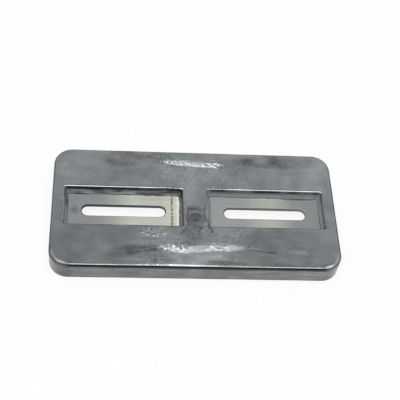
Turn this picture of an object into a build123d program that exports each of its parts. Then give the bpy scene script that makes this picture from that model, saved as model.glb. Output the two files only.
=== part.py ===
"""A sacrificial hull anode: a zinc plate cast round one slotted steel strap.

The plate lies on its back face, with +Z up and the origin at the centre of that face. X runs
along the plate and Y across it. Sizes are in millimetres, and angles in degrees.

Two windows in the casting, open in front and behind, bare the strap where its slots are. A
stud of the hull passes up through each slot, and its nut is tightened on the strap, down
inside the window. As the zinc wastes away, the strap still holds it to the studs.
"""

from build123d import *

import os

# The zinc plate
plate_length = 203.2
plate_width = 99.6
plate_thickness = 15.9
corner_radius = 13.4
side_draft = 0.5
front_edge_radius = 1.7
back_edge_radius = 0.8

# The windows, measured where their walls meet the strap
end_wall = 11.1  # zinc from a window to the end of the plate
web = 22.2  # zinc between the two windows
window_draft = 19.0
window_corner_radius = 0.8
rim_radius = 1.3

# The slots, and the room that each washer has between its slot and the walls of the window
slot_width = 8.8
washer_room_end = 10.1
washer_room_side = 9.3
slot_edge_radius = 1.0

# The strap, and how far its edges are buried in the zinc
strap_thickness = 3.2
strap_corner_radius = 2.5
buried_end = 5.0
buried_side = 5.3

window_length = (plate_length - web) / 2 - end_wall
window_width = slot_width + 2 * washer_room_side
window_spacing = window_length + web
slot_length = window_length - 2 * washer_room_end
strap_length = window_spacing + window_length + 2 * buried_end
strap_width = window_width + 2 * buried_side

# The strap is midway through the thickness, so the plate fits either way up
window_depth = (plate_thickness - strap_thickness) / 2
strap_top = window_depth + strap_thickness

os.makedirs("parts", exist_ok=True)


# The strap: a flat bar with two slots, whose edges are rolled over on both faces
with BuildPart() as slotted_strap:
    with BuildSketch(Plane.XY.offset(window_depth)):
        RectangleRounded(strap_length, strap_width, strap_corner_radius)
        with GridLocations(window_spacing, 0, 2, 1):
            SlotOverall(slot_length, slot_width, mode=Mode.SUBTRACT)
    extrude(amount=strap_thickness)
    flat_sides = slotted_strap.faces().filter_by(Axis.Z)
    slot_edges = [edge for side in flat_sides for wire in side.inner_wires() for edge in wire.edges()]
    fillet(slot_edges, slot_edge_radius)
slotted_strap.part.label = "slotted_strap"
export_step(slotted_strap.part, "parts/slotted_strap.step")


# The casting: a drafted plate, poured round the strap and open over its slots
with BuildPart() as zinc_casting:
    with BuildSketch():
        RectangleRounded(plate_length, plate_width, corner_radius)
    extrude(amount=plate_thickness, taper=side_draft)

    # The seat that the strap fills
    with BuildSketch(Plane.XY.offset(window_depth)):
        RectangleRounded(strap_length, strap_width, strap_corner_radius)
    extrude(amount=strap_thickness, mode=Mode.SUBTRACT)

    # The windows open outwards from both faces of the strap, with four slanting corners each
    for strap_face, reach in ((strap_top, window_depth), (window_depth, -window_depth)):
        with BuildSketch(Plane.XY.offset(strap_face)):
            with GridLocations(window_spacing, 0, 2, 1):
                Rectangle(window_length, window_width)
        extrude(amount=reach, taper=-window_draft, mode=Mode.SUBTRACT)
        new_edges = zinc_casting.edges(Select.LAST)
        corners = [edge for edge in new_edges if abs((edge @ 1 - edge @ 0).Z) > window_depth / 2]
        fillet(corners, window_corner_radius)

    # Rolled edges: round each window's mouth, and round the plate on both faces
    back, front = (zinc_casting.faces().filter_by(Axis.Z).sort_by(Axis.Z)[end] for end in (0, -1))
    rims = [edge for side in (back, front) for wire in side.inner_wires() for edge in wire.edges()]
    fillet(rims, rim_radius)
    back, front = (zinc_casting.faces().filter_by(Axis.Z).sort_by(Axis.Z)[end] for end in (0, -1))
    fillet(front.outer_wire().edges(), front_edge_radius)
    fillet(back.outer_wire().edges(), back_edge_radius)
zinc_casting.part.label = "zinc_casting"
export_step(zinc_casting.part, "parts/zinc_casting.step")
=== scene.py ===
"""Dresses a zinc hull anode: the casting's skin, the steel strap's finish, the floor and lights.

Lengths are in millimetres until they reach a mesh or a material, and in metres for the lamps.
The plate's own frame has X along it, Y across it and Z up from its back face.
"""

import math

import bpy
import numpy as np
from mathutils import Matrix, Vector, noise
from mathutils.geometry import delaunay_2d_cdt


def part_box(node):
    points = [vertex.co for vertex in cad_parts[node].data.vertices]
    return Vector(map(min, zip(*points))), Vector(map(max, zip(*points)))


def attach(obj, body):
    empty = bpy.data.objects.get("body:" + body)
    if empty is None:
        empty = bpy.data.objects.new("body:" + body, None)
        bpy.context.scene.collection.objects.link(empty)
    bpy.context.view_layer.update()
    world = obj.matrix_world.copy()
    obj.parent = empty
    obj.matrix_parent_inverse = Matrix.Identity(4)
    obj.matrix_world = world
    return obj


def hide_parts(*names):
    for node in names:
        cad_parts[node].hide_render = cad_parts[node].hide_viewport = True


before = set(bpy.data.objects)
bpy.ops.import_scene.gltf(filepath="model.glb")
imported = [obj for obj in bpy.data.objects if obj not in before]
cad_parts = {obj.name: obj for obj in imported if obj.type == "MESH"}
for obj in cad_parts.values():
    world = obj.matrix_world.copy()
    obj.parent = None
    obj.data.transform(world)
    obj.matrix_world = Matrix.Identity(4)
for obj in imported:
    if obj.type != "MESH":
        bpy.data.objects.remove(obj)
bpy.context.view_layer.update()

MM = 0.001

# The plate and its windows
CORNER_RADIUS = 13.4
SIDE_DRAFT = math.radians(0.5)
FRONT_EDGE_RADIUS = 1.7
BACK_EDGE_RADIUS = 0.8
END_WALL = 11.1
WEB = 22.2
WINDOW_WIDTH = 27.4
WINDOW_DRAFT = math.radians(19)
WINDOW_CORNER_RADIUS = 0.8
RIM_RADIUS = 1.3
STRAP_CORNER_RADIUS = 2.5

strap_low, strap_high = (Vector(corner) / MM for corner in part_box("slotted_strap"))
plate_high = Vector(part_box("zinc_casting")[1]) / MM
THICKNESS = plate_high.z
HALF_LENGTH = plate_high.x + BACK_EDGE_RADIUS * math.tan(SIDE_DRAFT)
HALF_WIDTH = plate_high.y + BACK_EDGE_RADIUS * math.tan(SIDE_DRAFT)
WINDOW_LENGTH = HALF_LENGTH - END_WALL - WEB / 2
WINDOW_CENTRE = (WINDOW_LENGTH + WEB) / 2
WINDOW_DEPTH = THICKNESS - strap_high.z


# --- Relief of the poured zinc -----------------------------------------------------------

# The last metal to freeze swelled up near one side of the middle, and sank towards the other
SWELL_HEIGHT = 0.22
SINK_DEPTH = 0.55
LIP_WIDTH = 7.0
# Middle and half length of the swell's foot, and of the sunken part's lip
SWELL_SPAN = (4.0, 31.0)
SINK_SPAN = (-0.5, 24.0)
SPAN_FADE = 24.0
# The swell's foot: its y, and how far a bulge in it reaches, with the bulge's x and width
SWELL_FOOT = (-32.6, 2.2, -8.0, 13.0)
# The sunken part's lip: its y in the middle, and its slope
SINK_LIP = (39.2, -0.05)
# How far the whole front face shrank back as it cooled
FACE_SHRINKAGE = 0.12
# Waves in the skin, each row with their height, their spacing and a seed
FRONT_WAVES = ((0.07, 38, 1), (0.03, 14, 2))
STIRRED_WAVES = ((0.014, 5.0, 3), (0.007, 2.4, 4))
# How far from the middle the metal was stirred as it froze, and over what length that fades out
STIRRED_REACH = (56, 30)
BACK_WAVES = ((0.12, 30, 11), (0.05, 9, 12))
BACK_HOLLOW = 0.03
SIDE_WAVES = ((0.10, 22, 21), (0.05, 6, 22))
SIDE_DENT = 0.06
SIDE_DENT_BAND = (3, 3)
# How far from a face its relief reaches round the edges, and over what length it fades out
RELIEF_REACH = 4.0
RELIEF_FADE = 3.0
# How far a flash of zinc creeps over the strap at the foot of a window's wall. The noise rows,
# here and below, each have a level, a contrast, a spacing and a seed
FLASH_CREEP = 0.45
FLASH_BREAKS = (0.5, 1.6, 3.5, 31)
# Where it crept furthest, along the far wall of one window: middle, half length, fade
FLASH_TONGUE = (76.0, 14.0, 6.0)
TONGUE_CREEP = 1.0
TONGUE_NOISE = (0.8, 0.6, 5, 32)
# Coarse crystals in splashed metal: centre x, centre y, reach along, reach across, strength
FLECKS = ((-30.0, -21.5, 10.0, 3.6, 0.65), (-5.4, -8.0, 2.2, 4.5, 0.6), (5.6, -3.0, 2.0, 6.0, 0.4))
# How far the two near corners are worn down, and how far in from their edge the wear starts
CORNER_WEAR = 0.5
CORNER_WEAR_REACH = 4.2
# Rings left in the web by the last metal to freeze: centre x, centre y, radius
FREEZE_RINGS = ((0.0, -9.2, 3.9), (6.6, -21.2, 4.6))
RING_HEIGHT = 0.05
RING_BREAKS = (0.5, 1.5, 5, 5)
RING_HOLLOW_FADE = 2.0
# Folds where two tongues of metal met, as chains of points
COLD_FOLDS = (
    ((-13.5, -24.6), (-11.5, -23), (-8.3, -19.3), (-5.4, -14.6), (-5.8, -8.5), (-5.5, 0.2)),
    ((-4.4, -0.5), (0, -1.6), (3.9, -3.7)),
    ((7.0, 3.9), (6.0, -9.0), (8.7, -12.4), (8.9, -16.6)),
    ((-48, -38.5), (-38, -37.5), (-29, -34.5)),
    ((36, -34), (46, -36), (56, -37)),
)
FOLD_DEPTH = 0.05
# How wide a ring or a fold is in relief, and in its tone
MARK_WIDTH = 0.7
MARK_TONE_WIDTH = 0.6
# A pale scuff, as chains of points
SCUFFS = (
    ((65, -36.3), (67, -36.2)),
    ((68, -35), (74, -35.1)),
    ((69, -36.6), (75, -36.9), (77.5, -37.8)),
    ((74.5, -35.4), (76, -36.0)),
)
# Clouds of oxide, in rows like those of the waves
OXIDE_CLOUDS = ((0.14, 24, 42), (0.12, 9, 43))
# Where oxide dulled the skin most, and where the skin is darkened as painted shade against the
# lamps' haze low on the face and along a dark band at the far right: centre x, centre y, reach
# along, reach across, strength
DULL_AND_SHADED_PATCHES = (
    (0, -8, 7, 9, 0.3), (0.3, -8.6, 2.8, 3, 0.25), (2, -22, 12, 6, 0.12), (-26, 45, 9, 3, 0.22),
    (-26, -46, 9, 3, 0.16), (20, -46, 16, 2.2, 0.2), (-52, 42, 16, 7, 0.16), (30, 43, 14, 4, 0.1),
    (62, 42, 30, 5.5, 0.2), (-70, -24, 26, 8, 0.08), (-40, -35, 16, 3.2, 0.14),
    (-43, -41, 20, 8, 0.21), (60, -24, 26, 6, 0.1), (70, -46, 18, 3, 0.1), (22, -39, 60, 11, 0.11),
    (-93, 20, 9, 15, -0.15), (85, 30, 10, 16, -0.1),
)
# One window's far wall is sooty to the left of this x
SOOTY_UP_TO = -14.0
# A window's end wall that stayed dark: its x, how far to both sides of it, and the fade
DARK_WALL = (-11.2, 2.8, 0.8)
# A smudge on the other window's end wall: centre x, centre y, radius
SMUDGE = (89.5, 14.0, 3.4)
# Farther than this from a window's foot, a point is past its wall and rim
PAST_RIM = 4.0


def smooth(value):
    """Eases a value from 0 to 1."""
    value = np.clip(value, 0.0, 1.0)
    return value * value * (3 - 2 * value)


def within(distance, reach, fade):
    """1 near by, easing to 0 over the last stretch before the reach."""
    return smooth((reach - distance) / fade)


def ridge(distance, width):
    """1 on a line, falling off to both sides of it."""
    return np.exp(-((distance / width) ** 2))


def oval(x, y, centre_x, centre_y, along, across):
    """How far out of an oval each point is, squared: 0 in its middle and 1 on its outline."""
    return ((x - centre_x) / along) ** 2 + ((y - centre_y) / across) ** 2


def ripple(points, wavelength, seed):
    """Perlin noise at each point, with hills about one wavelength apart."""
    shift = Vector((seed * 17.3, seed * 5.1, seed * 9.7))
    return np.array([noise.noise(Vector(p) / wavelength + shift) for p in points])


def ripples(points, waves):
    """The sum of several ripples, from rows of height, wavelength and seed."""
    return sum(height * ripple(points, wavelength, seed) for height, wavelength, seed in waves)


def uneven(points, level, contrast, wavelength, seed):
    """Noise round a level."""
    return level + contrast * ripple(points, wavelength, seed)


def patches(points, noise_row):
    """Noise as soft-edged patches, from 0 to 1."""
    return smooth(uneven(points, *noise_row))


def distance_to_chain(x, y, chain):
    """How far each point is from a chain of straight lines."""
    best = np.full(len(x), 1e9)
    for (x0, y0), (x1, y1) in zip(chain, chain[1:]):
        dx, dy = x1 - x0, y1 - y0
        along = np.clip(((x - x0) * dx + (y - y0) * dy) / (dx * dx + dy * dy), 0, 1)
        best = np.minimum(best, np.hypot(x - x0 - along * dx, y - y0 - along * dy))
    return best


def outside_corner(over_x, over_y):
    """How far points are outside a rectangle, from how far each is over its two sides."""
    beyond = np.hypot(np.maximum(over_x, 0), np.maximum(over_y, 0))
    return beyond + np.minimum(np.maximum(over_x, over_y), 0)


def plate_edge(x, y):
    """How far points are inside the plate's outline, and how far round a corner of it, 0 to 1."""
    over_x = np.abs(x) - (HALF_LENGTH - CORNER_RADIUS)
    over_y = np.abs(y) - (HALF_WIDTH - CORNER_RADIUS)
    round_corner = smooth(0.5 + np.minimum(over_x, over_y) / 8)
    return CORNER_RADIUS - outside_corner(over_x, over_y), round_corner


def window_distance(x, y):
    """How far each point is outside the nearest window's foot."""
    return outside_corner(np.abs(np.abs(x) - WINDOW_CENTRE) - WINDOW_LENGTH / 2,
                          np.abs(y) - WINDOW_WIDTH / 2)


def swell_foot(x):
    """Where the swell rises from the flat: a wavering line across the plate."""
    foot_y, bulge, bulge_x, bulge_width = SWELL_FOOT
    return foot_y - bulge * ridge(x - bulge_x, bulge_width)


def sink_lip(x):
    """Where the sunken middle rises to the flat again."""
    lip_y, slope = SINK_LIP
    return lip_y + slope * x


def front_relief(points):
    """Height of the front face's skin over the flat."""
    x, y = points[:, 0], points[:, 1]
    swell_middle, sink_middle = (
        smooth(0.5 + (half_length - np.abs(x - middle)) / SPAN_FADE)
        for middle, half_length in (SWELL_SPAN, SINK_SPAN)
    )
    past_foot = y - swell_foot(x)
    past_lip = y - sink_lip(x)
    between = np.clip((past_foot - LIP_WIDTH / 2) / (past_foot - past_lip - LIP_WIDTH), 0, 1)
    height = swell_middle * SWELL_HEIGHT * (smooth(past_foot / LIP_WIDTH + 0.5) - between)
    height += sink_middle * SINK_DEPTH * (smooth(past_lip / LIP_WIDTH + 0.5) - between)

    # The metal was stirred where it froze last: fully in the middle, and not at the ends
    stirred = within(np.abs(x), *STIRRED_REACH)
    height += ripples(points, FRONT_WAVES) + stirred * ripples(points, STIRRED_WAVES)
    broken = patches(points, RING_BREAKS)
    for ring_x, ring_y, radius in FREEZE_RINGS:
        off = np.hypot(x - ring_x, y - ring_y)
        hollow = within(off, radius, RING_HOLLOW_FADE)
        height += RING_HEIGHT * (ridge(off - radius, MARK_WIDTH) * broken - hollow)
    for chain in COLD_FOLDS:
        height -= FOLD_DEPTH * ridge(distance_to_chain(x, y, chain), MARK_WIDTH)
    edge, corner = plate_edge(x, y)
    height -= CORNER_WEAR * corner * (y < 0) * within(edge, CORNER_WEAR_REACH, CORNER_WEAR_REACH)
    return height - FACE_SHRINKAGE


def back_relief(points):
    """Depth of the hollows in the back face's skin. None stands proud of the flat."""
    return np.clip(ripples(points, BACK_WAVES) + BACK_HOLLOW, 0.0, None)


# --- Meshes -------------------------------------------------------------------------------

# A triangle whose middle is nearer a face's outline than this has no area of its own
SLIVER = 1e-4
# How far in from a face's outline its grid of points starts, in steps of the grid
GRID_MARGIN = 0.55
# Grid spacing on the two faces, which the front needs finest for its relief
FRONT_PITCH = 0.7
BACK_PITCH = 1.8


class Skin:
    """Collects the points and faces of one closed mesh."""

    def __init__(self):
        self.points = []
        self.faces = []
        self.feet = []

    def ring(self, outline, z):
        """Adds a closed loop of points at one height."""
        first = len(self.points)
        self.points += [(x, y, z) for x, y in outline]
        return list(range(first, len(self.points)))

    def bridge(self, lower, upper):
        """Joins two loops with four-sided faces."""
        for i in range(len(lower)):
            j = (i + 1) % len(lower)
            self.faces.append((lower[i], lower[j], upper[j], upper[i]))

    def fill(self, loops, z, inside, pitch, upward):
        """Fills between closed loops with triangles, on an even grid if it is given a pitch."""
        owners = [i for loop in loops for i in loop]
        edges = []
        start = 0
        for loop in loops:
            edges += [(start + i, start + (i + 1) % len(loop)) for i in range(len(loop))]
            start += len(loop)
        if pitch:
            row_step = pitch * math.sqrt(3) / 2
            shape = (int(2 * HALF_WIDTH / row_step) + 1, int(2 * HALF_LENGTH / pitch) + 1)
            rows, columns = np.indices(shape)
            x = -HALF_LENGTH + (columns + 0.5 * (rows % 2)) * pitch
            y = -HALF_WIDTH + rows * row_step
            kept = inside(x, y) > GRID_MARGIN * pitch
            owners += self.ring(zip(x[kept], y[kept]), z)
        flat = [Vector(self.points[i][:2]) for i in owners]
        coords, _, triangles, origins, _, _ = delaunay_2d_cdt(flat, edges, [], 0, 1e-7)
        corners = np.array(coords)[np.array(triangles)]
        side_1, side_2 = corners[:, 1] - corners[:, 0], corners[:, 2] - corners[:, 0]
        counter = side_1[:, 0] * side_2[:, 1] > side_1[:, 1] * side_2[:, 0]
        real = inside(*corners.mean(axis=1).T) > SLIVER
        for triangle, is_counter in zip(np.array(triangles)[real], counter[real]):
            face = [owners[origins[i][0]] for i in triangle]
            self.faces.append(face if is_counter == upward else face[::-1])


def rounded_outline(half_x, half_y, radius, centre_x, pitch, arc_steps, like):
    """A counter-clockwise rounded rectangle. Outlines like the same one have matching points."""
    like_x, like_y, like_radius = like
    long_steps = max(2, round(2 * (like_x - like_radius) / pitch))
    short_steps = max(2, round(2 * (like_y - like_radius) / pitch))
    corners = (
        (1, -1, -90, short_steps), (1, 1, 0, long_steps),
        (-1, 1, 90, short_steps), (-1, -1, 180, long_steps),
    )
    outline = []
    for index, (sx, sy, start, steps) in enumerate(corners):
        corner = Vector((centre_x + sx * (half_x - radius), sy * (half_y - radius)))
        for step in range(arc_steps + 1):
            angle = math.radians(start + 90 * step / arc_steps)
            outline.append(corner + radius * Vector((math.cos(angle), math.sin(angle))))
        next_sx, next_sy, next_start, _ = corners[(index + 1) % 4]
        after = Vector((centre_x + next_sx * (half_x - radius), next_sy * (half_y - radius)))
        angle = math.radians(next_start)
        target = after + radius * Vector((math.cos(angle), math.sin(angle)))
        begin = outline[-1]
        outline += [begin.lerp(target, step / steps) for step in range(1, steps)]
    return outline


def depth_inside(x, y, half_x, half_y, radius, centre_x=0.0):
    """How far points are inside a rounded rectangle, below 0 outside."""
    over_x = np.abs(x - centre_x) - (half_x - radius)
    over_y = np.abs(y) - (half_y - radius)
    return radius - outside_corner(over_x, over_y)


def arc(centre, radius, start, end, steps):
    """Points of an arc in a section, as (outwards, upwards) pairs."""
    angles = [math.radians(start + (end - start) * i / steps) for i in range(steps + 1)]
    return [(centre[0] + radius * math.cos(a), centre[1] + radius * math.sin(a)) for a in angles]


def plate_section():
    """The plate's edge from the back face to the front face, as (inset, height) pairs."""
    slope = math.tan(SIDE_DRAFT)
    back = arc((BACK_EDGE_RADIUS, BACK_EDGE_RADIUS), BACK_EDGE_RADIUS, 270, 180, 5)
    top = THICKNESS - FRONT_EDGE_RADIUS
    front_centre = (top * slope + FRONT_EDGE_RADIUS, top)
    front = arc(front_centre, FRONT_EDGE_RADIUS, 180, 90, 10)
    wall_steps = 9
    wall = []
    for step in range(1, wall_steps):
        height = BACK_EDGE_RADIUS + (top - BACK_EDGE_RADIUS) * step / wall_steps
        wall.append((height * slope, height))
    return back + wall + front


def window_section():
    """A window's wall from the strap to the face, as (outset, height over the strap) pairs."""
    sharp = WINDOW_DEPTH * math.tan(WINDOW_DRAFT)
    tangent = RIM_RADIUS * math.tan((math.pi / 2 - WINDOW_DRAFT) / 2)
    foot = WINDOW_DEPTH - tangent * math.cos(WINDOW_DRAFT)
    wall_steps = 6
    heights = [foot * step / wall_steps for step in range(wall_steps)]
    wall = [(height * math.tan(WINDOW_DRAFT), height) for height in heights]
    centre = (sharp + tangent, WINDOW_DEPTH - RIM_RADIUS)
    return wall + arc(centre, RIM_RADIUS, 180 - math.degrees(WINDOW_DRAFT), 90, 8)


# Outlines: half length, half width and corner radius
PLATE = (HALF_LENGTH, HALF_WIDTH, CORNER_RADIUS)
WINDOW = (WINDOW_LENGTH / 2, WINDOW_WIDTH / 2, WINDOW_CORNER_RADIUS)
STRAP = (strap_high.x, strap_high.y, STRAP_CORNER_RADIUS)


def inside_with_windows(outline, window):
    """Makes a function that tells how far points are inside an outline and off its windows."""
    def inside(x, y):
        left = -depth_inside(x, y, *window, -WINDOW_CENTRE)
        right = -depth_inside(x, y, *window, WINDOW_CENTRE)
        return np.minimum(depth_inside(x, y, *outline), np.minimum(left, right))
    return inside


def window_loops(skin, centre_x, front):
    """Adds one window's wall to the skin, and returns the loops along its rim and its foot."""
    loops = []
    for outset, rise in window_section():
        half_x, half_y, radius = WINDOW
        outline = rounded_outline(half_x + outset, half_y + outset, radius, centre_x,
                                  pitch=1.0, arc_steps=5, like=WINDOW)
        loops.append(skin.ring(outline, strap_high.z + rise if front else strap_low.z - rise))
    for lower, upper in zip(loops, loops[1:]):
        if front:
            skin.bridge(upper, lower)
        else:
            skin.bridge(lower, upper)
    skin.feet += loops[0]
    return loops[-1], loops[0]


def cast_skin():
    """The whole surface of the casting, inside its strap seat too."""
    skin = Skin()
    sections = plate_section()
    rings = []
    for inset, z in sections:
        sizes = (size - inset for size in PLATE)
        outline = rounded_outline(*sizes, 0.0, pitch=1.3, arc_steps=24, like=PLATE)
        rings.append(skin.ring(outline, z))
    for lower, upper in zip(rings, rings[1:]):
        skin.bridge(lower, upper)

    rim_outset = window_section()[-1][0]
    rim = (WINDOW[0] + rim_outset, WINDOW[1] + rim_outset, WINDOW_CORNER_RADIUS)
    inside_seat = inside_with_windows(STRAP, WINDOW)
    seats = []
    faces = (
        (True, rings[-1], sections[-1], FRONT_PITCH, strap_high.z),
        (False, rings[0], sections[0], BACK_PITCH, strap_low.z),
    )
    for front, face_ring, (inset, face_z), pitch, seat_z in faces:
        rims, feet = zip(*(window_loops(skin, side * WINDOW_CENTRE, front) for side in (-1, 1)))
        inside_face = inside_with_windows([size - inset for size in PLATE], rim)
        skin.fill([face_ring, *rims], face_z, inside_face, pitch, front)
        seat_outline = rounded_outline(*STRAP, 0.0, pitch=4.0, arc_steps=6, like=STRAP)
        seats.append(skin.ring(seat_outline, seat_z))
        skin.fill([seats[-1], *feet], seat_z, inside_seat, None, not front)
    skin.bridge(*seats)
    return skin


def flash_creep(feet):
    """How far the flash of zinc creeps over the strap from each point of the windows' feet."""
    creep = FLASH_CREEP * patches(feet, FLASH_BREAKS)
    tongue_x, *tongue_band = FLASH_TONGUE
    tongue = within(np.abs(feet[:, 0] - tongue_x), *tongue_band) * (feet[:, 1] > 0)
    creep += TONGUE_CREEP * tongue * uneven(feet, *TONGUE_NOISE)
    inwards = np.stack([np.sign(feet[:, 0]) * WINDOW_CENTRE - feet[:, 0], -feet[:, 1]], axis=1)
    on_end = np.abs(inwards[:, 0]) > WINDOW_LENGTH / 2 - 0.1
    inwards = np.where(on_end[:, None], inwards * (1, 0), inwards * (0, 1))
    return np.sign(inwards) * creep[:, None]


def weather(skin):
    """Gives the skin the relief of the pour, dents in its sides, and the flash on the strap."""
    points = np.array(skin.points)
    x, y, z = points.T.copy()
    flat = points * (1, 1, 0)
    front = within(THICKNESS - z, RELIEF_REACH, RELIEF_FADE)
    back = within(z, RELIEF_REACH, RELIEF_FADE)
    rise = front * front_relief(flat) + back * back_relief(flat)

    from_end, from_side = HALF_LENGTH - np.abs(x), HALF_WIDTH - np.abs(y)
    on_side = within(np.minimum(from_end, from_side), *SIDE_DENT_BAND)
    dent = np.minimum(on_side * (ripples(points, SIDE_WAVES) - SIDE_DENT), 0)
    near_outline = np.stack([from_end < CORNER_RADIUS, from_side < CORNER_RADIUS], axis=1)
    points[:, :2] += np.sign(points[:, :2]) * near_outline * dent[:, None]
    points[:, 2] += rise
    points[skin.feet, :2] += flash_creep(points[skin.feet])
    return points


def new_piece(name, points, faces, material):
    """A smooth-shaded object, from points in mm."""
    mesh = bpy.data.meshes.new(name)
    mesh.from_pydata([tuple(p) for p in points * MM], [], faces)
    mesh.validate()
    mesh.shade_smooth()
    mesh.materials.append(material)
    piece = bpy.data.objects.new(name, mesh)
    bpy.context.collection.objects.link(piece)
    return piece


# --- Marks on the casting, for its material to read ---------------------------------------

# Bands of the skin, each with how far it reaches and over what length it fades out.
# In from the plate's outline, along its near side, and down from the front face:
SIDE_BAND = (0.9, 0.6)
NEAR_SIDE_BAND = (3 - HALF_WIDTH, 2)
WORN_BAND = (3.4, 1.2)
FACE_BAND = (2.0, 1.5)
UNDER_EDGE_BAND = (2.5, 0.6)
# The same with a strength first: where edges and rims shine, and where laps are left
EDGE_SHINE = (1.0, FRONT_EDGE_RADIUS + 0.9, 1.2)
RIM_SHINE = (1.0, WINDOW_DEPTH / 2 + 1.4, 1.2)
WALL_LAPS = (0.9, 2.1, 1.6)
LEFT_WALL_LAPS = (0.6, 3.6, 1.0)
# Strength and band of the oxide on the corners, on the near rims, on the sooty and the dark
# wall and in the smudge, and of the painted contact shade up from the back face
CORNER_OXIDE = (0.45, FRONT_EDGE_RADIUS + 0.9, 0.8)
NEAR_RIM_OXIDE = (0.35, 3.4, 0.8)
SOOTY_WALL_OXIDE = (1.0, 2.6, 0.5)
DARK_WALL_OXIDE = (0.9, 2.9, 0.9)
SMUDGE_OXIDE = (0.6, 3.0, 0.8)
LOW_EDGE_SHADE = (0.25, 1.6, 0.8)
SMUDGE_FADE = 2.5
# The painted dark reflection in a line just under the face: its start below the face, and how
# far it reaches out from a window's foot and in from the plate's outline
UNDER_EDGE_START = 0.2
UNDER_RIM_LINE = 2.8
UNDER_EDGE_LINE = 1.8

# Coarse crystals: least share, share in the stirred middle, and that middle's band and noise
STIR_LEAST = 0.05
STIR_MIDDLE = 0.22
STIR_BAND = (50, 22)
STIR_NOISE = (0.5, 1.3, 13, 41)
# Flecks and dull patches fade out at this many times their own reach, squared
FLECK_SPREAD = 1.5
PATCH_SPREAD = 1.6
# How wide the two lips shine, how far past their ends, and how much less the far one does
SWELL_SHINE_WIDTH = 3.2
SINK_SHINE_WIDTH = 3.4
LIP_SHINE_PAST = 5
LIP_SHINE_FADE = 20
FAR_LIP_LOSS = 0.4
# Shine of the edges, its loss at the near corners, and where crystals break it
EDGE_SHINE_SHARE = 0.85
CORNER_SHINE_LOSS = 0.9
EDGE_BREAK_SHARE = 0.75
EDGE_BREAKS = (0.7, 1.2, 4, 45)
# Laps on the sides and worn corners, a painted dark reflection on the near side and a far wall,
# and the wash
SIDE_LAPS = 0.4
WORN_LAPS = 0.75
NEAR_SIDE_DARK_REFLECTION = 0.75
FAR_WALL_DARK_REFLECTION = 0.3
WASH_NOISE = (0.45, 1.3, 17, 49)
# Oxide that each kind of mark adds
RING_OXIDE = 0.36
FOLD_OXIDE = 0.3
SCUFF_OXIDE = -0.3
# A painted highlight: the skin is lighter along the lips, under the glints
LIP_PAINTED_HIGHLIGHT = -0.15
SIDE_OXIDE = 0.2
CLEAN_WALL_OXIDE = -0.5
CLEAN_WALL_REACH = 2.6
END_OXIDE = 0.45
CORNER_SIDE_OXIDE = 0.08
PATCH_NOISE = (0.85, 0.8, 4, 44)
SOOT_NOISE = (0.55, 1.6, 9, 47)
SMUDGE_NOISE = (0.6, 1.0, 2.5, 48)
UNDER_EDGE_NOISE = (0.55, 1.5, 11, 46)


def band(distance, strength, reach, fade):
    """A strength near by, easing to 0 over the last stretch before the reach."""
    return strength * within(distance, reach, fade)


def from_least(least, share):
    """Lifts a share so that it runs from the least value, rather than from 0, to 1."""
    return least + (1 - least) * share


class SkinPlaces:
    """Where each point of the cast skin lies, and how near the plate's edges and windows."""

    def __init__(self, points):
        self.points = points
        self.x, self.y, self.z = points.T
        self.below_face = THICKNESS - self.z
        self.front = within(self.below_face, *FACE_BAND)
        self.edge, self.corner = plate_edge(self.x, self.y)
        self.near_corner = self.corner * (self.y < 0)
        self.window = window_distance(self.x, self.y)
        self.past_rim = self.window > PAST_RIM
        self.along_window = self.x - np.copysign(WINDOW_CENTRE, self.x)
        self.on_side = within(self.edge, *SIDE_BAND) * (1 - self.front)
        # A painted dark reflection in a line just under the face, on the plate's sides
        # and the windows' walls
        starts = smooth((self.below_face - UNDER_EDGE_START) / UNDER_EDGE_START)
        on_line = np.where(self.past_rim, self.edge < UNDER_EDGE_LINE, self.window < UNDER_RIM_LINE)
        self.under_edge = starts * within(self.below_face, *UNDER_EDGE_BAND) * on_line
        self.near_side = within(self.y, *NEAR_SIDE_BAND)

        # The two lips, where the swell and the sunken middle meet the flat
        self.lips = np.zeros(len(points))
        lips = (
            (*SWELL_SPAN, swell_foot, SWELL_SHINE_WIDTH),
            (*SINK_SPAN, sink_lip, SINK_SHINE_WIDTH),
        )
        for middle, half_length, lip, width in lips:
            reach = half_length + LIP_SHINE_PAST
            span = within(np.abs(self.x - middle), reach, LIP_SHINE_FADE)
            self.lips += span * ridge(self.y - lip(self.x), width)


def metal_masks(at):
    """Where the metal was stirred and froze in coarse crystals, and where it froze shiny."""
    middle = within(np.abs(at.x), *STIR_BAND)
    stir = STIR_LEAST + STIR_MIDDLE * middle * from_least(0.35, patches(at.points, STIR_NOISE))
    for centre_x, centre_y, along, across, strength in FLECKS:
        off = oval(at.x, at.y, centre_x, centre_y, along, across)
        stir = np.maximum(stir, strength * smooth(FLECK_SPREAD - off))
    edges = at.front * (band(at.edge, *EDGE_SHINE) + band(at.window, *RIM_SHINE))
    edges *= 1 - CORNER_SHINE_LOSS * at.near_corner
    breaks = EDGE_BREAK_SHARE * np.clip(edges, 0, 1) * patches(at.points, EDGE_BREAKS)
    lip_shine = at.front * at.lips * (1 - FAR_LIP_LOSS * (at.y > 0))
    return {"stir": at.front * np.maximum(stir, at.lips) * (1 - breaks),
            "shine": np.maximum(lip_shine, EDGE_SHINE_SHARE * edges)}


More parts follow.
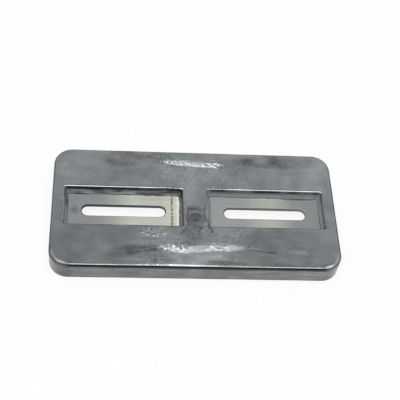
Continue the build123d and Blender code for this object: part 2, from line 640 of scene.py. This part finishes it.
def wall_masks(at):
    """Laps and pale wash from the mould's walls, and a painted dark reflection under an edge."""
    on_left_wall = at.along_window < -WINDOW_LENGTH / 2
    worn = within(at.edge, *WORN_BAND) * within(at.below_face, *WORN_BAND)
    laps = (
        band(at.window, *WALL_LAPS),
        band(at.window, *LEFT_WALL_LAPS) * on_left_wall,
        SIDE_LAPS * at.on_side,
        WORN_LAPS * at.near_corner * worn,
    )
    washed = patches(at.points * (1, 1, 2), WASH_NOISE)
    far_wall = (at.y > WINDOW_WIDTH / 2 - 0.5) * (at.x < 0)
    # A painted dark reflection under the near side's edge and under one far rim
    side_dark_reflection = NEAR_SIDE_DARK_REFLECTION * at.near_side * (1 - at.corner)
    wall_dark_reflection = FAR_WALL_DARK_REFLECTION * far_wall
    return {"upright": np.maximum.reduce(laps),
            "wash": at.on_side * washed,
            "dark_reflection": at.under_edge * np.where(at.past_rim, side_dark_reflection, wall_dark_reflection)}


def face_oxide_and_shade(at):
    """Oxide added to the front face, or missing there: patches, freezing marks, scuffs and rims.
    Some patches are painted shade, and the lips are lighter as a painted highlight.
    """
    ragged = uneven(at.points * (0.35, 1, 1), *PATCH_NOISE)
    oxide_and_shade = np.zeros(len(at.points))
    # Patches of oxide, some of them painted shade
    for centre_x, centre_y, along, across, strength in DULL_AND_SHADED_PATCHES:
        off = oval(at.x, at.y, centre_x, centre_y, along, across)
        oxide_and_shade += strength * smooth(PATCH_SPREAD - off) * ragged
    for ring_x, ring_y, radius in FREEZE_RINGS:
        off = np.hypot(at.x - ring_x, at.y - ring_y)
        far_half = smooth((at.y - ring_y) / 3 + 0.8)
        oxide_and_shade += RING_OXIDE * ridge(off - radius, MARK_TONE_WIDTH) * far_half
    for chain in COLD_FOLDS:
        fold = ridge(distance_to_chain(at.x, at.y, chain), MARK_TONE_WIDTH)
        oxide_and_shade += FOLD_OXIDE * fold * ragged
    for chain in SCUFFS:
        oxide_and_shade += SCUFF_OXIDE * ridge(distance_to_chain(at.x, at.y, chain), MARK_TONE_WIDTH)
    # Lighter skin along the lips, a painted highlight under the glints
    oxide_and_shade += LIP_PAINTED_HIGHLIGHT * at.lips
    oxide_and_shade += at.near_corner * band(at.edge, *CORNER_OXIDE)
    near_rim = at.y < -WINDOW_WIDTH / 2
    return at.front * (oxide_and_shade + near_rim * band(at.window, *NEAR_RIM_OXIDE))


def wall_oxide(at):
    """Oxide added to the windows' walls, or missing there."""
    oxide_and_shade = CLEAN_WALL_OXIDE * (at.window < CLEAN_WALL_REACH)
    sooty = band(at.window, *SOOTY_WALL_OXIDE) * (at.x < SOOTY_UP_TO) * (at.y > 0)
    oxide_and_shade += sooty * (0.1 + 0.7 * patches(at.points * (1, 1, 4), SOOT_NOISE))
    dark_x, *dark_band = DARK_WALL
    oxide_and_shade += band(at.window, *DARK_WALL_OXIDE) * within(np.abs(at.x - dark_x), *dark_band)
    smudge_x, smudge_y, smudge_radius = SMUDGE
    off = np.hypot(at.x - smudge_x, at.y - smudge_y)
    smudge = within(off, smudge_radius, SMUDGE_FADE) * (at.z > THICKNESS / 2)
    return oxide_and_shade + smudge * band(at.window, *SMUDGE_OXIDE) * uneven(at.points, *SMUDGE_NOISE)


def side_oxide_and_shade(at):
    """Side oxide, a painted dark reflection under edges and rims, and painted shade at the foot."""
    oxide_and_shade = SIDE_OXIDE * (1 - at.front) * at.past_rim
    on_end_wall = np.abs(at.along_window) > WINDOW_LENGTH / 2
    # The painted dark reflection in a line under the edges and rims, patchy on the walls
    patchy = from_least(0.4, patches(at.points, UNDER_EDGE_NOISE))
    wall_share = patchy * np.where(on_end_wall, 0.45, 1)
    edge_share = from_least(0.3, at.near_side) * (1 - 0.9 * at.near_corner)
    oxide_and_shade += at.under_edge * np.where(at.past_rim, edge_share, wall_share)
    ends = END_OXIDE * smooth((np.abs(at.x) - HALF_LENGTH + 2.8) / 2.2)
    corners = CORNER_SIDE_OXIDE * at.corner
    near_half = smooth(0.5 - at.y / 30)
    # Darker ends and corners, and painted contact shade up from the back face, most on the near
    # half
    oxide_and_shade += at.on_side * near_half * (ends + corners + band(at.z, *LOW_EDGE_SHADE))
    return oxide_and_shade


def mask_casting(piece, points):
    """Stores each mask on the mesh as an attribute, with one value from 0 to 1 a point."""
    at = SkinPlaces(points)
    clouds = 0.5 + ripples(points, OXIDE_CLOUDS)
    # Oxide in clouds and patches, with painted shade, dark reflections and a highlight added
    oxide_and_shade = clouds + face_oxide_and_shade(at) + wall_oxide(at) + side_oxide_and_shade(at)
    masks = {**metal_masks(at), **wall_masks(at), "oxide_and_shade": oxide_and_shade}
    for name, values in masks.items():
        mask = piece.data.attributes.new(name, "FLOAT", "POINT")
        mask.data.foreach_set("value", np.clip(values, 0, 1).astype(np.float32))


# --- Materials ----------------------------------------------------------------------------

# Sizes of the patterns. The crystals, grains, laps and roll lines are drawn coarser than real
# ones, so that they show from where the camera stands
CLOUD_SIZE = 9.0
CRYSTAL_SIZE = 1.5
GRAIN_SIZE = 1.2
LAP_SPACING = 1.1
ROLL_LINE_SPACING = 1.1
BLOOM_SIZE = 6.0
RUST_DOT_SIZE = 1.5
# Heights of what is too fine to model
CRYSTAL_HEIGHT = 0.24
GRAIN_HEIGHT = 0.012
ROLL_LINE_HEIGHT = 0.03
# The strap's coat along its length, its paler and creamy bands painted reflections of the lamps
# behind: place and colour
STRAP_COAT_AND_SHEEN = (
    (-92, "#7E8183"), (-68, "#83878A"), (-61, "#8F9392"), (-45, "#B7BCB1"), (-34, "#B3B8AC"),
    (-24, "#B7BAAF"), (-21, "#BFBEB1"), (-13.2, "#CDCBBF"), (-11.6, "#F6F5EE"), (-9, "#F6F5EE"),
    (11, "#8E9192"), (36, "#8C8F8E"), (44, "#A0A29B"), (56, "#A6A8A2"), (66, "#949794"),
    (72, "#7F8383"), (92, "#7C7F7F"),
)
# Where along the strap its coat has cracked, and how far from there it rusts
RUST_LINE = -16.4
RUST_REACH = 1.3
STAIN_CENTRE = (-85.5, -0.5)
STAIN_RADIUS = 4.5


def linear(hex_colour):
    """An sRGB hex value as linear red, green, blue and full alpha."""
    values = [int(hex_colour[i:i + 2], 16) / 255 for i in (1, 3, 5)]
    return [v / 12.92 if v <= 0.04045 else ((v + 0.055) / 1.055) ** 2.4 for v in values] + [1.0]


def per_metre(millimetres):
    """The texture scale whose features are this far apart."""
    return 1000 / millimetres


def add_node(tree, kind, settings=None, links=None):
    """Adds a node, sets its properties or unlinked sockets, and links its other sockets."""
    node = tree.nodes.new(kind)
    for name, value in (settings or {}).items():
        if isinstance(name, str) and hasattr(node, name):
            setattr(node, name, value)
        else:
            node.inputs[name].default_value = value
    for name, source in (links or {}).items():
        tree.links.new(source, node.inputs[name])
    return node


def new_material(name):
    """A material with an empty node tree, and that tree."""
    material = bpy.data.materials.new(name)
    material.use_nodes = True
    material.node_tree.nodes.clear()
    return material, material.node_tree


def cast_zinc():
    """Zinc, poured in an iron mould: a blue-grey satin skin, dulled by a thin grey oxide.
    Its colour also carries painted shade, painted dark reflections and a painted highlight.
    """
    material, tree = new_material("cast_zinc")
    place = add_node(tree, "ShaderNodeTexCoord").outputs["Object"]
    stir, shine, oxide_and_shade, upright, wash, dark_reflection = (
        add_node(tree, "ShaderNodeAttribute", {"attribute_name": name}).outputs["Fac"]
        for name in ("stir", "shine", "oxide_and_shade", "upright", "wash", "dark_reflection")
    )
    clouds = add_node(tree, "ShaderNodeTexNoise",
                      {"Scale": per_metre(CLOUD_SIZE), "Detail": 6.0, "Roughness": 0.62},
                      {"Vector": place})
    crystals = add_node(tree, "ShaderNodeTexNoise",
                        {"Scale": per_metre(CRYSTAL_SIZE), "Detail": 2.0, "Roughness": 0.6},
                        {"Vector": place})
    grains = add_node(tree, "ShaderNodeTexNoise",
                      {"Scale": per_metre(GRAIN_SIZE), "Detail": 3.0, "Roughness": 0.75},
                      {"Vector": place})

    # Oxide dulls the skin in clouds, and darkens it grain by grain where the metal was stirred.
    # The same mask carries painted shade, painted dark reflections and a painted highlight
    clouded = add_node(tree, "ShaderNodeMapRange",
                       {"From Min": 0.3, "From Max": 0.7, "To Min": 0.88, "To Max": 1.12},
                       {"Value": clouds.outputs["Fac"]})
    dulled = add_node(tree, "ShaderNodeMath", {"operation": "MULTIPLY"},
                      {0: oxide_and_shade, 1: clouded.outputs["Result"]})
    speckle = add_node(tree, "ShaderNodeMapRange",
                       {"From Min": 0.35, "From Max": 0.65, "To Min": -0.5, "To Max": 0.5},
                       {"Value": grains.outputs["Fac"]})
    speckle_depth = add_node(tree, "ShaderNodeMath", {"operation": "MULTIPLY_ADD", 1: 1.25, 2: 0.1},
                             {0: stir})
    grained = add_node(tree, "ShaderNodeMath", {"operation": "MULTIPLY_ADD"},
                       {0: speckle.outputs["Result"], 1: speckle_depth.outputs[0],
                        2: dulled.outputs[0]})

    # The metal rose up the mould's walls in thin laps, and took up some of the mould's wash
    flatten = add_node(tree, "ShaderNodeMapping", {"Scale": (0.06, 0.06, 1.0)}, {"Vector": place})
    laps = add_node(tree, "ShaderNodeTexNoise",
                    {"Scale": per_metre(LAP_SPACING), "Detail": 3.0, "Roughness": 0.6},
                    {"Vector": flatten.outputs["Vector"]})
    lap_tone = add_node(tree, "ShaderNodeMapRange",
                        {"From Min": 0.35, "From Max": 0.65, "To Min": -0.45, "To Max": 0.45},
                        {"Value": laps.outputs["Fac"]})
    dull_share = add_node(tree, "ShaderNodeMath", {"operation": "MULTIPLY_ADD", "use_clamp": True},
                          {0: lap_tone.outputs["Result"], 1: upright, 2: grained.outputs[0]})
    colour = add_node(tree, "ShaderNodeMix",
                      {"data_type": "RGBA", 6: linear("#AFB5B9"), 7: linear("#505355")},
                      {0: dull_share.outputs[0]})
    wash_share = add_node(tree, "ShaderNodeMath", {"operation": "MULTIPLY", 1: 0.45}, {0: wash})
    washed = add_node(tree, "ShaderNodeMix", {"data_type": "RGBA", 7: linear("#7C746A")},
                      {0: wash_share.outputs[0], 6: colour.outputs[2]})
    # A painted dark reflection, near black, in a line under the edges and a far rim
    reflection_darkened = add_node(tree, "ShaderNodeMix", {"data_type": "RGBA", 7: linear("#1E2022")},
                      {0: dark_reflection, 6: washed.outputs[2]})

    # Laps and worn corners are less bare, so less metallic. The lips and edges are smoothest
    bare_share = add_node(tree, "ShaderNodeMath", {"operation": "MULTIPLY_ADD", 1: -0.6, 2: 1.0},
                          {0: upright})
    skin_rough = add_node(tree, "ShaderNodeMapRange",
                          {"From Min": 0.3, "From Max": 0.7, "To Min": 0.16, "To Max": 0.26},
                          {"Value": clouds.outputs["Fac"]})
    roughness = add_node(tree, "ShaderNodeMix", {"data_type": "FLOAT", 3: 0.11},
                         {0: shine, 2: skin_rough.outputs["Result"]})
    grain = add_node(tree, "ShaderNodeBump", {"Strength": 1.0, "Distance": GRAIN_HEIGHT * MM},
                     {"Height": grains.outputs["Fac"]})
    facets = add_node(tree, "ShaderNodeMath", {"operation": "MULTIPLY"},
                      {0: crystals.outputs["Fac"], 1: stir})
    spangle = add_node(tree, "ShaderNodeBump", {"Strength": 1.0, "Distance": CRYSTAL_HEIGHT * MM},
                       {"Height": facets.outputs[0], "Normal": grain.outputs["Normal"]})
    shader = add_node(tree, "ShaderNodeBsdfPrincipled", None,
                      {"Base Color": reflection_darkened.outputs[2], "Metallic": bare_share.outputs[0],
                       "Roughness": roughness.outputs[0], "Normal": spangle.outputs["Normal"]})
    add_node(tree, "ShaderNodeOutputMaterial", None, {"Surface": shader.outputs["BSDF"]})
    return material


def galvanised_steel():
    """Rolled steel bar with a thin zinc coat, streaked by the rolls and dark where punched.
    Paler bands along it are painted reflections, and the punched walls are partly painted shade.
    """
    material, tree = new_material("galvanised_steel")
    place = add_node(tree, "ShaderNodeTexCoord").outputs["Object"]
    parts = add_node(tree, "ShaderNodeSeparateXYZ", None, {0: place}).outputs
    along = add_node(tree, "ShaderNodeMapRange",
                     {"From Min": strap_low.x * MM, "From Max": strap_high.x * MM},
                     {"Value": parts["X"]})
    # The coat's tone along the strap, with painted reflections of the lamps in its paler bands
    coat_and_sheen = add_node(tree, "ShaderNodeValToRGB", None, {"Fac": along.outputs["Result"]})
    stops = coat_and_sheen.color_ramp.elements
    for index, (x, tone) in enumerate(STRAP_COAT_AND_SHEEN):
        where = (x - strap_low.x) / (strap_high.x - strap_low.x)
        stop = stops[index] if index < 2 else stops.new(where)
        stop.position = where
        stop.color = linear(tone)

    stretch = add_node(tree, "ShaderNodeMapping", {"Scale": (0.04, 1.0, 1.0)}, {"Vector": place})
    roll_lines = add_node(tree, "ShaderNodeTexNoise",
                          {"Scale": per_metre(ROLL_LINE_SPACING), "Detail": 3.0, "Roughness": 0.65},
                          {"Vector": stretch.outputs["Vector"]})
    bloom = add_node(tree, "ShaderNodeTexNoise",
                     {"Scale": per_metre(BLOOM_SIZE), "Detail": 4.0, "Roughness": 0.6},
                     {"Vector": place})
    line_tone = add_node(tree, "ShaderNodeMapRange",
                         {"From Min": 0.3, "From Max": 0.7, "To Min": 0.0, "To Max": 0.34},
                         {"Value": roll_lines.outputs["Fac"]})
    lined = add_node(tree, "ShaderNodeMix", {"data_type": "RGBA", 7: linear("#7C7F7D")},
                     {0: line_tone.outputs["Result"], 6: coat_and_sheen.outputs["Color"]})

    # Rust weeps in a dotted line near one end of a window, where the coat has cracked
    off_line = add_node(tree, "ShaderNodeMath", {"operation": "SUBTRACT", 1: RUST_LINE * MM},
                        {0: parts["X"]})
    aside = add_node(tree, "ShaderNodeMath", {"operation": "ABSOLUTE"}, {0: off_line.outputs[0]})
    line = add_node(tree, "ShaderNodeMapRange",
                    {"From Min": RUST_REACH * MM, "From Max": 0.2 * MM},
                    {"Value": aside.outputs[0]})
    dots = add_node(tree, "ShaderNodeTexNoise",
                    {"Scale": per_metre(RUST_DOT_SIZE), "Detail": 2.0, "Roughness": 0.7},
                    {"Vector": place})
    dotted = add_node(tree, "ShaderNodeMapRange",
                      {"From Min": 0.38, "From Max": 0.54}, {"Value": dots.outputs["Fac"]})
    rust = add_node(tree, "ShaderNodeMath", {"operation": "MULTIPLY"},
                    {0: line.outputs["Result"], 1: dotted.outputs["Result"]})
    rusted = add_node(tree, "ShaderNodeMix", {"data_type": "RGBA", 7: linear("#574635")},
                      {0: rust.outputs[0], 6: lined.outputs[2]})

    # A brown stain beside one slot
    stain_centre = Vector((*STAIN_CENTRE, strap_high.z)) * MM
    off_stain = add_node(tree, "ShaderNodeVectorMath", {"operation": "DISTANCE", 1: stain_centre},
                         {0: place})
    stain = add_node(tree, "ShaderNodeMapRange",
                     {"From Min": STAIN_RADIUS * MM, "From Max": 0.0, "To Max": 1.5},
                     {"Value": off_stain.outputs["Value"]})
    blotched = add_node(tree, "ShaderNodeMath", {"operation": "MULTIPLY"},
                        {0: stain.outputs["Result"], 1: dots.outputs["Fac"]})
    stained = add_node(tree, "ShaderNodeMix", {"data_type": "RGBA", 7: linear("#4E4742")},
                       {0: blotched.outputs[0], 6: rusted.outputs[2]})

    # The punched walls of the slots have no coat: bare dark steel, browner at the rusted end, and
    # darkened further as painted shade inside the slots
    facing = add_node(tree, "ShaderNodeNewGeometry").outputs["Normal"]
    up = add_node(tree, "ShaderNodeSeparateXYZ", None, {0: facing}).outputs["Z"]
    level = add_node(tree, "ShaderNodeMath", {"operation": "ABSOLUTE"}, {0: up})
    punched = add_node(tree, "ShaderNodeMapRange", {"From Min": 0.99, "From Max": 0.85},
                       {"Value": level.outputs[0]})
    bare_and_shaded = add_node(tree, "ShaderNodeMix",
                    {"data_type": "RGBA", 6: linear("#38332F"), 7: linear("#8A8680")},
                    {0: along.outputs["Result"]})
    colour = add_node(tree, "ShaderNodeMix", {"data_type": "RGBA"},
                      {0: punched.outputs["Result"], 6: stained.outputs[2], 7: bare_and_shaded.outputs[2]})

    coat_rough = add_node(tree, "ShaderNodeMapRange",
                          {"From Min": 0.3, "From Max": 0.7, "To Min": 0.32, "To Max": 0.42},
                          {"Value": bloom.outputs["Fac"]})
    roughness = add_node(tree, "ShaderNodeMix", {"data_type": "FLOAT", 3: 0.55},
                         {0: punched.outputs["Result"], 2: coat_rough.outputs["Result"]})
    bump = add_node(tree, "ShaderNodeBump", {"Strength": 1.0, "Distance": ROLL_LINE_HEIGHT * MM},
                    {"Height": roll_lines.outputs["Fac"]})
    shader = add_node(tree, "ShaderNodeBsdfPrincipled", {"Metallic": 0.25},
                      {"Base Color": colour.outputs[2], "Roughness": roughness.outputs[0],
                       "Normal": bump.outputs["Normal"]})
    add_node(tree, "ShaderNodeOutputMaterial", None, {"Surface": shader.outputs["BSDF"]})
    return material


def studio_floor():
    """A pale matt sheet, seen and mirrored almost white but for the shadow. Clear from below."""
    material, tree = new_material("studio_floor")
    paper = add_node(tree, "ShaderNodeBsdfDiffuse", {"Color": linear("#E6E6E4")})
    glow = add_node(tree, "ShaderNodeEmission", {"Color": (1, 1, 1, 1), "Strength": 1.0})
    rays = add_node(tree, "ShaderNodeLightPath").outputs
    mirrored = add_node(tree, "ShaderNodeMath", {"operation": "MAXIMUM"},
                        {0: rays["Is Glossy Ray"], 1: rays["Is Transmission Ray"]})
    seen = add_node(tree, "ShaderNodeMath", {"operation": "MAXIMUM"},
                    {0: rays["Is Camera Ray"], 1: mirrored.outputs[0]})
    share = add_node(tree, "ShaderNodeMath", {"operation": "MULTIPLY", 1: 0.88},
                     {0: seen.outputs[0]})
    above = add_node(tree, "ShaderNodeMixShader", None,
                     {0: share.outputs[0], 1: paper.outputs[0], 2: glow.outputs[0]})
    clear = add_node(tree, "ShaderNodeBsdfTransparent")
    below = add_node(tree, "ShaderNodeNewGeometry").outputs["Backfacing"]
    mixed = add_node(tree, "ShaderNodeMixShader", None,
                     {0: below, 1: above.outputs[0], 2: clear.outputs[0]})
    add_node(tree, "ShaderNodeOutputMaterial", None, {"Surface": mixed.outputs[0]})
    return material


# --- Stage --------------------------------------------------------------------------------

# The camera: where it stands, which way right, down and ahead are for it, its lens and its sensor
CAMERA_PLACE = (-59.59, -361.00, 542.18)
CAMERA_RIGHT = (0.994919, -0.035528, 0.094207)
CAMERA_DOWN = (0.024668, -0.821142, -0.570191)
CAMERA_AHEAD = (0.097615, 0.569617, -0.816093)
CAMERA_LENS = 81.16
CAMERA_SENSOR = 36.0

# The room's light: each row has a direction, and turns one share of the light into another
# between two distances along that direction
ROOM_LIGHT = (
    ((0, 0, 1), 0.60, 0.77, 0.45, 1.0),
    ((0, 0, 1), 0.78, 0.86, 1.0, 0.30),
    ((0, 0, 1), 0.30, 0.50, 1.7, 1.0),
    ((0.09, -0.76, 0.64), 0.87, 0.91, 1.0, 0.5),
    ((1, 0, 0), -0.75, -0.45, 0.7, 1.0),
    ((1, 0, 0), 0.35, 0.65, 1.0, 0.6),
)
ROOM_STRENGTH = 1.04
# Softboxes: name, place, width, length, radiance and colour, in metres
SOFTBOXES = (
    ("overhead_softbox", (0.0, -0.15, 1.30), 1.70, 0.90, 3.3, "#FFFFFF"),
    ("high_back_lamp", (0.088, 0.62, 1.48), 0.1, 0.09, 19.5, "#FFFFFF"),
    ("warm_back_lamp", (0.192, 0.62, 1.48), 0.075, 0.08, 18.5, "#FFF4E2"),
)
FLOOR_SIZE = 6000.0


def add_camera():
    """A camera in front of the plate, looking down on it."""
    camera = bpy.data.cameras.new("camera")
    camera.lens = CAMERA_LENS
    camera.sensor_width = CAMERA_SENSOR
    camera.clip_start = 0.01
    holder = bpy.data.objects.new("camera", camera)
    right, down, ahead = (Vector(v) for v in (CAMERA_RIGHT, CAMERA_DOWN, CAMERA_AHEAD))
    turn = Matrix((right, -down, -ahead)).transposed()
    holder.matrix_world = Matrix.Translation(Vector(CAMERA_PLACE) * MM) @ turn.to_4x4()
    bpy.context.collection.objects.link(holder)
    bpy.context.scene.camera = holder


def add_softbox(name, place, width, length, radiance, tint):
    """A rectangular lamp that faces the object and shows in the metal at the given radiance."""
    lamp = bpy.data.lights.new(name, "AREA")
    lamp.shape = "RECTANGLE"
    lamp.size = width
    lamp.size_y = length
    lamp.energy = radiance * math.pi * width * length
    lamp.color = linear(tint)[:3]
    holder = bpy.data.objects.new(name, lamp)
    holder.location = place
    holder.rotation_euler = (-Vector(place)).to_track_quat("-Z", "Y").to_euler()
    bpy.context.collection.objects.link(holder)


def add_world():
    """A grey room, palest in a belt half way up, dimmer overhead, to both sides and in front."""
    world = bpy.data.worlds.new("studio")
    bpy.context.scene.world = world
    world.use_nodes = True
    tree = world.node_tree
    tree.nodes.clear()
    direction = add_node(tree, "ShaderNodeTexCoord").outputs["Generated"]
    shares = []
    for towards, start, end, low, high in ROOM_LIGHT:
        lies_along = add_node(tree, "ShaderNodeVectorMath",
                              {"operation": "DOT_PRODUCT", 1: towards}, {0: direction})
        span = {"interpolation_type": "SMOOTHSTEP",
                "From Min": start, "From Max": end, "To Min": low, "To Max": high}
        share = add_node(tree, "ShaderNodeMapRange", span, {"Value": lies_along.outputs["Value"]})
        shares.append(share.outputs["Result"])
    room = shares[0]
    for share in shares[1:]:
        both = add_node(tree, "ShaderNodeMath", {"operation": "MULTIPLY"}, {0: room, 1: share})
        room = both.outputs[0]
    level = add_node(tree, "ShaderNodeMath", {"operation": "MULTIPLY", 1: ROOM_STRENGTH}, {0: room})
    lit = add_node(tree, "ShaderNodeBackground", {"Color": (1, 1, 1, 1)},
                   {"Strength": level.outputs[0]})
    add_node(tree, "ShaderNodeOutputWorld", None, {"Surface": lit.outputs[0]})


def add_floor():
    """A wide flat floor, level with the plate's back face."""
    half = FLOOR_SIZE / 2
    corners = np.array([(-half, -half, 0), (half, -half, 0), (half, half, 0), (-half, half, 0)])
    floor = new_piece("studio_floor", corners, [(0, 1, 2, 3)], studio_floor())


# --- Making -------------------------------------------------------------------------------

add_camera()
add_world()
add_floor()
for softbox in SOFTBOXES:
    add_softbox(*softbox)

skin = cast_skin()
skin_points = weather(skin)
casting = new_piece("poured_zinc", skin_points, skin.faces, cast_zinc())
mask_casting(casting, skin_points)
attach(casting, "root")
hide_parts("zinc_casting")

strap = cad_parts["slotted_strap"]
strap.data.materials.clear()
strap.data.materials.append(galvanised_steel())

view_settings = bpy.context.scene.view_settings
view_settings.view_transform = "Standard"
